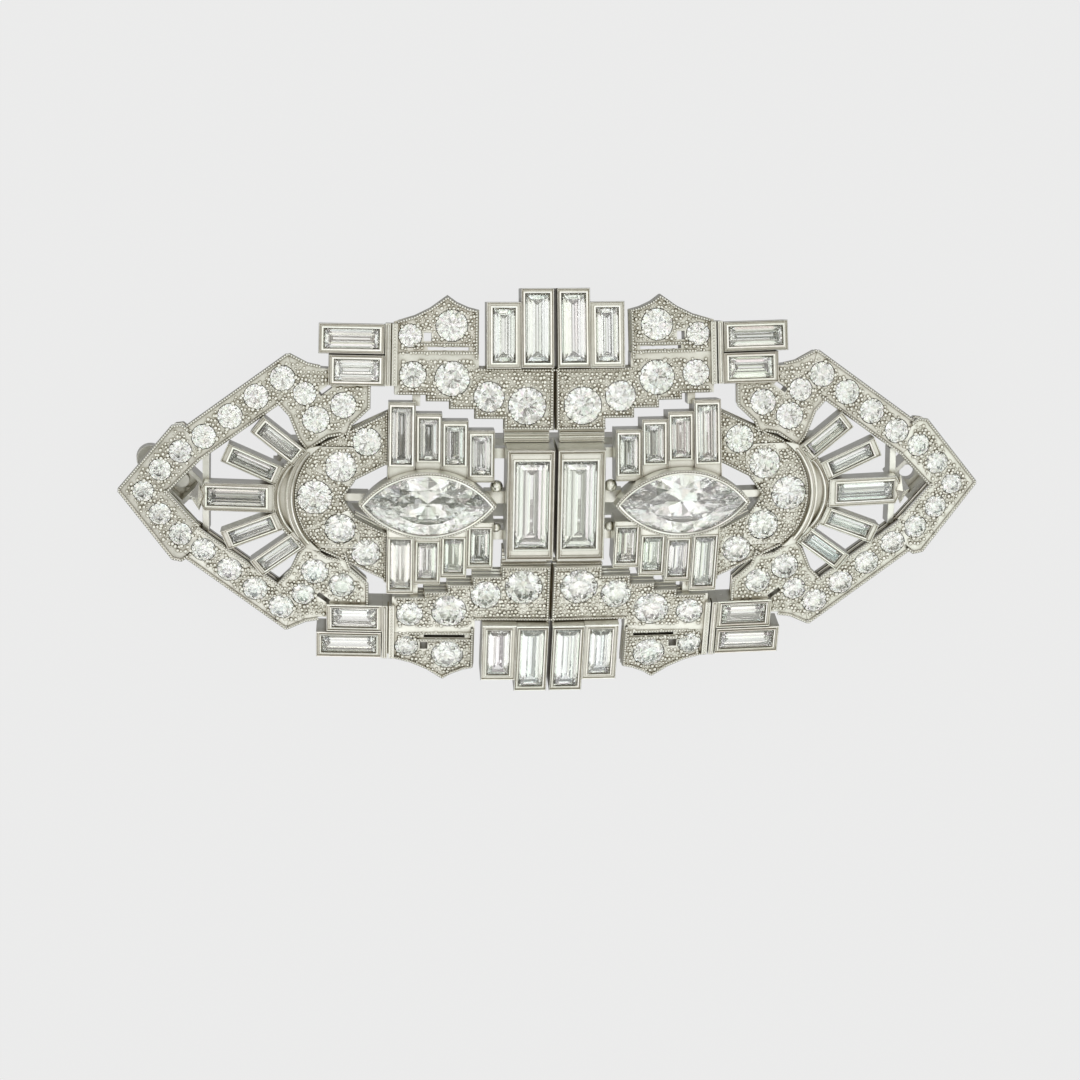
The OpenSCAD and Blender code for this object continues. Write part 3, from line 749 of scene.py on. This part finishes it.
def make_borders(side, s):
    """Beaded edges of the pave, bands on the lune and the bars, and rails under the plate."""
    ridges = Shape()
    beads = Shape()
    rails = Shape()
    for t in (1, -1):
        flip = mirror(s, t)
        for zone, edge in BORDERS:
            path = offset(list(edge), -BORDER_INSET)
            place = flip @ on_facet(zone)
            add_ridge(ridges, path, RIDGE_W, RIDGE_H, place)
            add_beads(beads, path, place, RIDGE_BEAD_Z)
            for z in RAIL_Z:
                add_ridge(rails, list(edge), RAIL_W, RAIL_T, place, base=z, section=RAIL)
        arc = arc_path(ARC_X, 0, ARC_R - ARC_INSET, 0, ARC_TURN, 14)
        for zone, part in ((NOSE, arc[:ARC_FOLD + 1]), (LEG, arc[ARC_FOLD:])):
            add_ridge(ridges, part, RIDGE_W, RIDGE_H, flip @ on_facet(zone))
            add_beads(beads, part, flip @ on_facet(zone), RIDGE_BEAD_Z)
        for x, r, end, wide in LUNE_BANDS:
            band = arc_path(x, 0, r, 0, end, 16)
            add_ridge(ridges, band, wide, LUNE_BAND_H, flip @ on_facet(NOSE), base=LUNE_TOP)
        x, r, end = LUNE_BANDS[0][:3]
        add_beads(beads, arc_path(x, 0, r, 0, end, 16), flip @ on_facet(NOSE), LUNE_BEAD_Z)
        add_ridge(ridges, NOSE_EDGE, RIDGE_W, RIDGE_H, flip @ on_facet(NOSE))
        add_beads(beads, NOSE_EDGE, flip @ on_facet(NOSE), RIDGE_BEAD_Z)
        for y in SLIT_BANDS:
            band = [(x, y) for x in SLIT_RUN]
            add_ridge(ridges, band, SLIT_BAND_W, RIDGE_H, flip @ on_facet(CREST))
            add_beads(beads, band, flip @ on_facet(CREST), RIDGE_BEAD_Z)
        bar = [(0.0, -BAR_RUN), (0.0, BAR_RUN)]
        add_ridge(ridges, bar, *BAR_BAND, flip @ on_dome(BANDED_BAR_X, BAR_Y), base=BAR_H)
        add_beads(beads, bar, flip @ on_dome(BEADED_BAR_X, BAR_Y), BAR_BEAD_Z,
                  step=BAR_BEAD_STEP)
        shelf = flip @ on_dome(*SHELF)
        for y, wide in SHELF_BANDS:
            band = [(x, y) for x in SHELF_RUN]
            add_ridge(ridges, band, wide, SHELF_BAND_H, shelf, base=SHELF_DROP)
        add_beads(beads, [(x, SHELF_BANDS[0][0]) for x in SHELF_RUN], shelf, SHELF_BEAD_Z)
    for shape, name in ((ridges, "pave_ridges_"), (beads, "milgrain_"), (rails, "gallery_rails_")):
        piece = shape.build(name + side, BRIGHT, smooth=name == "milgrain_")


def rectangle(l, w, inset=0.0):
    return [(l / 2 - inset, -w / 2 + inset), (l / 2 - inset, w / 2 - inset),
            (-l / 2 + inset, w / 2 - inset), (-l / 2 + inset, -w / 2 + inset)]


# Section of a lip: how far in from the stone's outline, and how high
LIP = ((-0.15, -0.02), (-0.13, 0.07), (-0.07, 0.10), (0.0, 0.07), (0.06, -0.05))


def add_lip(shape, inner, place):
    """Metal rubbed over a stone's edge: a narrow band that leans in over the girdle.
    inner is the stone's outline, run anticlockwise."""
    rails = [offset(inner, u, closed=True) for u, v in LIP]
    n = len(inner)
    m = len(LIP)
    points = [(rails[k][i][0], rails[k][i][1], LIP[k][1]) for i in range(n) for k in range(m)]
    faces = []
    for i in range(n):
        a = i * m
        b = (i + 1) % n * m
        for k in range(m - 1):
            faces.append([a + k, b + k, b + k + 1, a + k + 1])
    shape.add(points, faces, place)


def boat_path(g):
    """Outline of the marquise's boat shape, grown by g, anticlockwise."""
    count = 40
    r = BOAT_R + g
    a = math.sqrt(r * r - BOAT_C * BOAT_C)
    upper = []
    for k in range(count + 1):
        x = a * math.cos(math.pi * k / count)
        upper.append((x, math.sqrt(max(r * r - x * x, 0)) - BOAT_C))
    lower = [(x, -y) for x, y in upper[::-1]]
    return upper + lower[1:-1]


# Knobs on the bars between the marquise and the centre collet: x, y, diameter
KNOBS = ((4.45, 0.95, 1.0), (4.45, -2.4, 0.8))
KNOB_Z = -0.3
# The pointed stud on the fan's middle collet: how far in from the collet's end it stands, how far
# it reaches out, in and to each side, how deep it is sunk, and its peak
STUD_INSET = 0.05
STUD_OUT = 0.75
STUD_IN = 0.45
STUD_SIDE = 1.2
STUD_SINK = 0.05
STUD_PEAK = (0.05, 0, 0.5)
# Raised edges of the collets: how far in from the outline, width, height
COLLET_EDGE = (0.06, 0.12, 0.12)
FLANK_EDGE = (0.05, 0.10, 0.10)
CENTRE_EDGES = ((0.08, 0.18, 0.15), (0.30, 0.12, 0.10))
# Beads round the marquise: how far in from its collet's outline, and how high
BOAT_BEAD_INSET = 0.1
BOAT_BEAD_Z = -0.02


def add_stud(shape, place):
    """A four-sided pointed stud."""
    z = -STUD_SINK
    points = [(STUD_OUT, 0, z), (0, STUD_SIDE, z), (-STUD_IN, 0, z), (0, -STUD_SIDE, z), STUD_PEAK]
    shape.add(points, [[0, 1, 4], [1, 2, 4], [2, 3, 4], [3, 0, 4], [3, 2, 1, 0]], place)


def make_lips(side, s):
    """Lips round the baguettes and the marquise, and the raised outer edges of their collets."""
    lips = Shape()
    edges = Shape()
    grains = Shape()
    studs = Shape()
    for t in (1, -1):
        flip = mirror(s, t)
        for rows, h in ((CORNERS, CORNER_H), (ENDS, END_H), (FANS[:2], FAN_H)):
            for row in rows:
                place = flip @ place_baguette(row, h)
                add_lip(lips, rectangle(row[4], row[5]), place)
                outer = rectangle(row[2], row[3], COLLET_EDGE[0])
                add_ridge(edges, outer, *COLLET_EDGE[1:], place, closed=True)
        for row in FLANKS:
            place = flip @ place_flank_stone(row)
            add_lip(lips, rectangle(*flank_size(row)), place)
            length = row[1] - FLANK_INNER_Y
            outer = rectangle(row[2], length, FLANK_EDGE[0])
            middle = flip @ place_flank(row) @ Matrix.Translation((0, -length / 2, 0))
            add_ridge(edges, outer, *FLANK_EDGE[1:], middle, closed=True)
    flip = mirror(s, 1)
    row = FANS[2]
    l = row[2] / 2
    w = row[3] / 2
    pointed = [(-l, -w), (l - FAN_POINT, -w), (l + FAN_POINT / 3, 0), (l - FAN_POINT, w), (-l, w)]
    place = flip @ place_baguette(row, FAN_H)
    add_lip(lips, rectangle(row[4], row[5]), place)
    outer = offset(pointed, COLLET_EDGE[0], closed=True)
    add_ridge(edges, outer, *COLLET_EDGE[1:], place, closed=True)
    add_stud(studs, place @ Matrix.Translation((l - STUD_INSET, 0, 0)))
    for x, y, d in KNOBS:
        studs.add(*bead(d, 16, 8), flip @ on_dome(x, y) @ Matrix.Translation((0, 0, KNOB_Z)))
    add_lip(lips, rectangle(CENTRE[4], CENTRE[5]), flip @ place_centre())
    place = flip @ place_baguette(CENTRE, CENTRE_H)
    for inset, wide, high in CENTRE_EDGES:
        add_ridge(edges, rectangle(CENTRE[2], CENTRE[3], inset), wide, high, place, closed=True)
    add_lip(lips, boat_path(-MARQUISE_WALL - SEAT_GAP), flip @ place_marquise())
    add_beads(grains, boat_path(-BOAT_BEAD_INSET), flip @ place_marquise(), BOAT_BEAD_Z,
              closed=True)
    for shape, name, smooth in ((lips, "bezel_lips_", False), (edges, "collet_edges_", False),
                                (grains, "marquise_grain_", True), (studs, "fan_stud_", False)):
        piece = shape.build(name + side, BRIGHT, smooth=smooth)


PAVE = (
    (CAP, CAP_STONES, False),
    (NOSE, NOSE_STONES, False),
    (ARM, ARM_STONES, True),
    (CLUSTER, CLUSTER_STONES, True),
    (LEG, LEG_STONES, True),
    (BAND, BAND_STONES, True),
    (CREST, CREST_STONES, True),
)
PRONG = bead(0.36, 12, 5)
PRONG_Z = 0.02
# Where the beads stand round a stone, in degrees from its nearest neighbour, how far out from
# its edge, and how far they may reach over the edge of another one
PRONG_TURNS = (40, 140, 220, 320)
PRONG_OUT = 0.06
PRONG_OVER = 0.02
# Round stones of the upper half, and of both halves
UPPER_STONES = [row for zone, rows, both in PAVE for row in rows]
ALL_STONES = UPPER_STONES + [(x, -y, d) for x, y, d in UPPER_STONES]


def prong_angles(x, y, d):
    """Four places round a stone, turned so that they fall beside its nearest neighbour."""
    near = sorted((math.dist((x, y), (a, b)) - (d + e) / 2, a, b)
                  for a, b, e in UPPER_STONES if (a, b) != (x, y))
    a, b = near[0][1:]
    first = math.degrees(math.atan2(b - y, a - x))
    return [first + turn for turn in PRONG_TURNS]


def inside(path, x, y, margin):
    """Whether a plan point lies inside a closed path, at least margin from its edges."""
    hit = False
    for (ax, ay), (bx, by) in zip(path, path[1:] + path[:1]):
        if (ay > y) != (by > y) and x < ax + (bx - ax) * (y - ay) / (by - ay):
            hit = not hit
        length = (bx - ax) ** 2 + (by - ay) ** 2
        f = min(1, max(0, ((x - ax) * (bx - ax) + (y - ay) * (by - ay)) / length))
        if math.dist((x, y), (ax + f * (bx - ax), ay + f * (by - ay))) < margin:
            return False
    return hit


def in_box(x, y, box, grow=0.0):
    """Whether a plan point lies in a turned box: x, y, length, width, turn."""
    a = math.radians(-box[4])
    u = (x - box[0]) * math.cos(a) - (y - box[1]) * math.sin(a)
    v = (x - box[0]) * math.sin(a) + (y - box[1]) * math.cos(a)
    return abs(u) < box[2] / 2 + grow and abs(v) < box[3] / 2 + grow


# Plans of the pave's fields
CAP_PLAN = [(33.5, 0), (29.35, 5.25), (28.75, 5.35), (28.2, 4.9), (26.9, 3.3), (27.5, 2.78),
            (30.1, 0), (27.5, -2.78), (26.9, -3.3), (28.2, -4.9), (28.75, -5.35), (29.35, -5.25)]
ARM_PLAN = [(28.4, 5.1), (20.6, 11.05), (19.9, 8.6), (21.1, 7.62), (27.5, 2.78)]
CLUSTER_PLAN = [(21.3, 7.55), (20.3, 6.5), (19.5, 4.6), (19.0, 3.95), (17.5, 5.0), (16.5, 5.2),
                (16.1, 4.9), (15.8, 5.9), (14.45, 7.2), (14.45, 9), (17.4, 9), (17.4, 10.1),
                (18.2, 10.15), (19.2, 10.35), (20.6, 11.05), (21.5, 10.2)]
NOSE_PLAN = (arc_path(ARC_X, 0, ARC_R, -48, 48, 16)
             + [(15.0, 4.2), (15.0, 1.65), (15.4, 1.45), (16.35, 0), (15.4, -1.45), (15.0, -1.65),
                (15.0, -4.2)])
LEG_PLAN = (arc_path(ARC_X, 0, ARC_R, 32, ARC_TURN, 6)
            + [(12.85, 6.85), (12.85, 2.8), (15.4, 1.45), (16.2, 1.1)])
BAND_PLAN = [(GAP, 5.5), (3.9, 5.5), (3.9, 6.35), (6.15, 6.35), (6.15, 7.1), (8.1, 7.1),
             (8.1, 7.7), (9.9, 7.7), (9.9, 8.2), (12.15, 8.2), (12.15, 11.2), (5.9, 11.2),
             (5.9, 10.3), (GAP, 10.3)]
CREST_PLAN = [(5.9, 11), (12.15, 11), (12.15, 13.75), (10.8, 14.15), (9.6, 14.75), (8.3, 15.7),
              (7.6, 15.2), (6.7, 14.8), (5.9, 14.6)]
FIELDS = (
    (CAP, CAP_PLAN, False),
    (NOSE, NOSE_PLAN, False),
    (ARM, ARM_PLAN, True),
    (CLUSTER, CLUSTER_PLAN, True),
    (LEG, LEG_PLAN, True),
    (BAND, BAND_PLAN, True),
    (CREST, CREST_PLAN, True),
)
# What goes through the fields and stands on them: x, y, length, width, turn
HOLES = ((17.72, 8.45, 1.1, 0.36, -38), (8.2, 11.62, 3.2, 0.25, 0), (9.8, 12.52, 0.6, 0.65, 0))
COLLETS = [(r[0], r[1], r[2], r[3], r[6]) for r in CORNERS + ENDS + FANS + (CENTRE,)]
GRAIN_STEP = 0.31
GRAINS = [bead(d, 7, 2) for d in (0.22, 0.27, 0.32, 0.36)]
# How far a grain strays from its place, in steps, and up or down
GRAIN_STRAY = 0.22
GRAIN_RISE = 0.03
# How far grains keep from the stones, the holes and the field's edge
STONE_CLEAR = 0.08
HOLE_CLEAR = 0.12
EDGE_CLEAR = 0.24


def make_grain(side, s):
    """Fields of grains raised by the graver between the round stones."""
    grains = Shape()
    for zone, plan, both in FIELDS:
        xs = [p[0] for p in plan]
        ys = [p[1] for p in plan]
        spots = []
        for i in range(round((max(xs) - min(xs)) / GRAIN_STEP) + 1):
            for j in range(round((max(ys) - min(ys)) / GRAIN_STEP) + 1):
                stray = [random.uniform(-GRAIN_STRAY, GRAIN_STRAY) for k in range(2)]
                x = min(xs) + GRAIN_STEP * (i + 0.5 * (j % 2) + stray[0])
                y = min(ys) + GRAIN_STEP * (j + stray[1])
                free = all(math.dist((x, y), (a, b)) > d / 2 + STONE_CLEAR
                           for a, b, d in ALL_STONES)
                cut = any(in_box(x, y, hole, HOLE_CLEAR) for hole in HOLES)
                stood = any(in_box(x, y, box) for box in COLLETS)
                if free and not cut and not stood and inside(plan, x, y, EDGE_CLEAR):
                    spots.append((x, y))
        for t in (1, -1) if both else (1,):
            place = mirror(s, t) @ on_facet(zone)
            for x, y in spots:
                form = random.choice(GRAINS)
                z = random.uniform(-GRAIN_RISE, GRAIN_RISE)
                grains.add(*form, place @ Matrix.Translation((x, y, z)))
    piece = grains.build("pave_grains_" + side, GRAIN, smooth=True)


def make_prongs(side, s):
    """Beads raised from the plate over each round stone's girdle."""
    prongs = Shape()
    for zone, rows, both in PAVE:
        for t in (1, -1) if both else (1,):
            place = mirror(s, t) @ on_facet(zone)
            for x, y, d in rows:
                for degrees in prong_angles(x, y, d):
                    px = x + (d / 2 + PRONG_OUT) * math.cos(math.radians(degrees))
                    py = y + (d / 2 + PRONG_OUT) * math.sin(math.radians(degrees))
                    clear = all(math.dist((px, py), (a, b)) > e / 2 - PRONG_OVER
                                for a, b, e in UPPER_STONES if (a, b) != (x, y))
                    if clear:
                        prongs.add(*PRONG, place @ Matrix.Translation((px, py, PRONG_Z)))
    piece = prongs.build("setting_beads_" + side, BRIGHT, smooth=True)


# Camera, light and floor

# The camera's angles and distance, and the pixel of the photo that shows the dome's crown
CAMERA_TURN = math.radians(-5.74)
CAMERA_TILT = math.radians(17.51)
CAMERA_ROLL = math.radians(1.18)
CAMERA_DISTANCE = 450.0
PIXELS_PER_MM = 12.9
PHOTO_SIZE = 1080.0
MIDDLE_U = 553.8
MIDDLE_V = 498.9


def make_camera():
    """The camera looks at the crown of the dome, which the photo shows off its middle."""
    toward = Vector((math.sin(CAMERA_TURN) * math.cos(CAMERA_TILT), math.sin(CAMERA_TILT),
                     math.cos(CAMERA_TURN) * math.cos(CAMERA_TILT)))
    flat = Vector((0, 1, 0)).cross(toward).normalized()
    up = toward.cross(flat)
    c = math.cos(CAMERA_ROLL)
    s = math.sin(CAMERA_ROLL)
    across = c * flat + s * up
    rise = -s * flat + c * up
    data = bpy.data.cameras.new("camera")
    data.sensor_width = 36.0
    data.sensor_fit = "HORIZONTAL"
    field = PHOTO_SIZE / PIXELS_PER_MM
    data.lens = data.sensor_width * CAMERA_DISTANCE / field
    data.shift_x = (PHOTO_SIZE / 2 - MIDDLE_U) / PHOTO_SIZE
    data.shift_y = (MIDDLE_V - PHOTO_SIZE / 2) / PHOTO_SIZE
    data.clip_start = 0.01
    data.clip_end = 20.0
    camera = bpy.data.objects.new("camera", data)
    camera.matrix_world = Matrix((
        (across.x, rise.x, toward.x, toward.x * CAMERA_DISTANCE * MM),
        (across.y, rise.y, toward.y, toward.y * CAMERA_DISTANCE * MM),
        (across.z, rise.z, toward.z, (CROWN_Z + toward.z * CAMERA_DISTANCE) * MM),
        (0, 0, 0, 1),
    ))
    bpy.context.scene.collection.objects.link(camera)
    bpy.context.scene.camera = camera


# Brightness of the floor as the camera sees it, the share of it that the tent's light already
# gives, and the light that the floor throws up at the piece
PAPER = 0.8308
PAPER_LIT = 0.036
FLOOR_LIGHT = 0.30
# Size and height of the floor
FLOOR_SIDE = 5000.0
FLOOR_Z = -0.01


def make_floor():
    """A pale floor that glows evenly, as lit white paper does."""
    material, tree, shader = new_material("paper")
    shader.inputs["Base Color"].default_value = (0.04, 0.04, 0.04, 1)
    shader.inputs["Roughness"].default_value = 1.0
    shader.inputs["Specular IOR Level"].default_value = 0.0
    shader.inputs["Emission Color"].default_value = (1, 1, 1, 1)
    path = tree.nodes.new("ShaderNodeLightPath")
    glow = tree.nodes.new("ShaderNodeMapRange")
    glow.inputs["To Min"].default_value = FLOOR_LIGHT
    glow.inputs["To Max"].default_value = PAPER - PAPER_LIT
    seen = tree.nodes.new("ShaderNodeMath")
    seen.operation = "MAXIMUM"
    tree.links.new(path.outputs["Is Camera Ray"], seen.inputs[0])
    tree.links.new(path.outputs["Is Transmission Ray"], seen.inputs[1])
    tree.links.new(seen.outputs["Value"], glow.inputs["Value"])
    tree.links.new(glow.outputs["Result"], shader.inputs["Emission Strength"])
    mesh = bpy.data.meshes.new("floor")
    corners = box_ring(FLOOR_SIDE, FLOOR_SIDE, FLOOR_Z)
    mesh.from_pydata([Vector(p) * MM for p in corners], [], [[0, 1, 2, 3]])
    floor = bpy.data.objects.new("floor", mesh)
    mesh.materials.append(material)
    bpy.context.scene.collection.objects.link(floor)


def make_finish():
    """Plain tones, a denoiser that keeps the stones' edges clean, and enough bounces for them."""
    scene = bpy.context.scene
    scene.view_settings.view_transform = "Standard"
    scene.cycles.denoising_prefilter = "ACCURATE"
    scene.cycles.max_bounces = 20
    scene.cycles.glossy_bounces = 16
    scene.cycles.transmission_bounces = 16


# The tent's brightness from the floor up to its top, its soft patches, and their colours: how
# much of them shows, their gain and their lowest value
TENT = (
    (0.0, (0.20, 0.19, 0.165)),
    (0.20, (0.30, 0.29, 0.26)),
    (0.34, (0.985, 1.0, 0.965)),
    (0.80, (0.985, 1.0, 0.975)),
    (0.93, (0.80, 0.805, 0.765)),
    (1.0, (0.74, 0.745, 0.705)),
)
PATCHES = (
    (0.38, (0.28, 0.28, 0.26)),
    (0.46, (0.85, 0.85, 0.82)),
    (0.60, (1.05, 1.05, 1.05)),
)
HUE_SHARE = 0.22
HUE_GAIN = 1.2
HUE_BASE = 0.4
PATCH_SCALE = 5.0
HUE_SCALE = 9.0
TENT_STRENGTH = 1.35


def make_light():
    """A bright tent of cloth, drawn on the sky: dim at the top, brightest half way down, and dark
    near the floor, with soft patches of slightly different colours."""
    world = bpy.data.worlds.new("tent")
    bpy.context.scene.world = world
    world.use_nodes = True
    tree = world.node_tree
    background = tree.nodes["Background"]
    coords = tree.nodes.new("ShaderNodeTexCoord")
    split = tree.nodes.new("ShaderNodeSeparateXYZ")
    tree.links.new(coords.outputs["Generated"], split.inputs["Vector"])
    rise = ramp(tree, split.outputs["Z"], TENT)
    patches = tree.nodes.new("ShaderNodeTexNoise")
    patches.inputs["Scale"].default_value = PATCH_SCALE
    patches.inputs["Detail"].default_value = 2.0
    tree.links.new(coords.outputs["Generated"], patches.inputs["Vector"])
    tone = ramp(tree, patches.outputs["Fac"], PATCHES)
    both = tree.nodes.new("ShaderNodeMix")
    both.data_type = "RGBA"
    both.blend_type = "MULTIPLY"
    both.inputs["Factor"].default_value = 1.0
    tree.links.new(rise.outputs["Color"], both.inputs["A"])
    tree.links.new(tone.outputs["Color"], both.inputs["B"])
    hues = tree.nodes.new("ShaderNodeTexNoise")
    hues.inputs["Scale"].default_value = HUE_SCALE
    hues.inputs["Detail"].default_value = 0.0
    tree.links.new(coords.outputs["Generated"], hues.inputs["Vector"])
    strong = tree.nodes.new("ShaderNodeVectorMath")
    strong.operation = "MULTIPLY_ADD"
    strong.inputs[1].default_value = [HUE_GAIN] * 3
    strong.inputs[2].default_value = [HUE_BASE] * 3
    tree.links.new(hues.outputs["Color"], strong.inputs[0])
    tinted = tree.nodes.new("ShaderNodeMix")
    tinted.data_type = "RGBA"
    tinted.blend_type = "MULTIPLY"
    tinted.inputs["Factor"].default_value = HUE_SHARE
    tree.links.new(both.outputs["Result"], tinted.inputs["A"])
    tree.links.new(strong.outputs["Vector"], tinted.inputs["B"])
    tree.links.new(tinted.outputs["Result"], background.inputs["Color"])
    background.inputs["Strength"].default_value = TENT_STRENGTH


# The whole brooch

def dress(name, material):
    """Gives a piece of the part its metal."""
    materials = nodes[name].data.materials
    materials.clear()
    materials.append(material)


make_camera()
make_light()
make_floor()
make_finish()
for side, s in SIDES:
    make_stones(side, s)
    make_borders(side, s)
    make_lips(side, s)
    make_prongs(side, s)
    make_grain(side, s)
    dress(f"mount_{side}", PLATINUM)
    dress(f"clip_fitting_{side}", WHITE_GOLD)
dress("brooch_frame", WHITE_GOLD)
